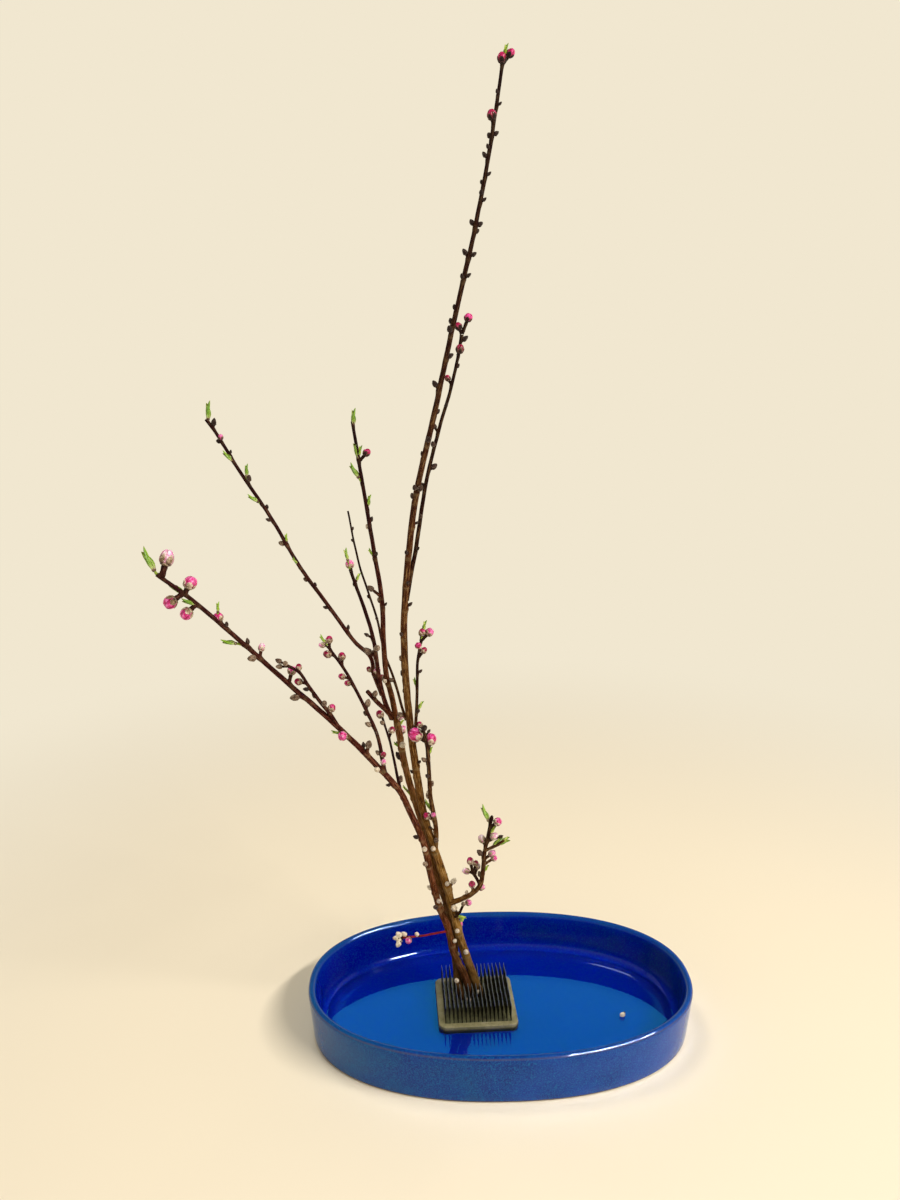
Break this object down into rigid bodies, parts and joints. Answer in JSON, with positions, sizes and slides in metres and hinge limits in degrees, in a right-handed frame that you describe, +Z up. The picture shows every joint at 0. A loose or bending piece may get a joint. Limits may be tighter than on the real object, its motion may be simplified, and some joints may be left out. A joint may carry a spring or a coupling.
{
  "type": "flowering branch arrangement",
  "caption": "Budding peach branches standing on a square pin holder in a shallow oval water bowl, spreading up and to the left.",
  "frame": {"origin": "middle of the bowl's flat underside, on the surface it stands on", "axes": "+Z up, X along the bowl's long side with the branches leaning towards -X, +Y towards the back"},
  "size_m": [0.4475, 0.2164, 0.8235],
  "materials": {
    "glaze": "glossy blue glaze, mottled on the outside",
    "water": "still clear water",
    "holder_metal": "dull cast plate with bright pins",
    "bark": "smooth young bark, olive to dark maroon",
    "petal": "soft matt petals, pale pink to crimson",
    "bud_scale": "dry downy husk",
    "leaf": "soft young leaf, yellow green to olive"
  },
  "bodies": {
    "root": {"bowl": "glaze", "water": "water", "pin_holder": "holder_metal", "tall_branch": "bark", "middle_branch": "bark", "left_branch": "bark", "fallen_bud_scale": "bud_scale"}
  },
  "joints": []
}
